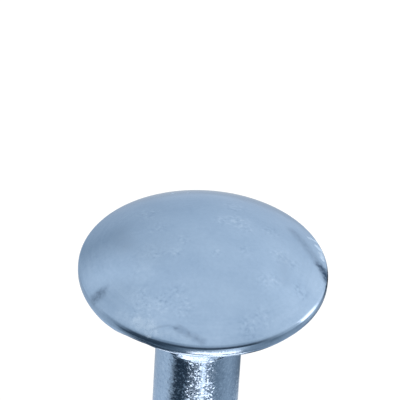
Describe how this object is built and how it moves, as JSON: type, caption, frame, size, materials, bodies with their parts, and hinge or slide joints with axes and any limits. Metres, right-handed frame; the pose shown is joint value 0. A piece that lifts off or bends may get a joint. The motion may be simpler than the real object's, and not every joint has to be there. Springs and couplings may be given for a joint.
{
  "type": "carriage bolt",
  "caption": "Domed-head carriage bolt with a square neck, a plain shank and a threaded stretch with a chamfered end, in bright zinc-plated steel.",
  "frame": {"origin": "centre of the flat threaded end, which the bolt stands on", "axes": "+Z along the bolt's axis, from the threaded end up to the domed head; the square neck is turned 35 degrees about Z"},
  "size_m": [0.0206, 0.0204, 0.0449],
  "materials": {
    "zinc_plated_steel": "bright blue-passivated zinc plating"
  },
  "bodies": {
    "root": {"carriage_bolt": "zinc_plated_steel"}
  },
  "joints": []
}
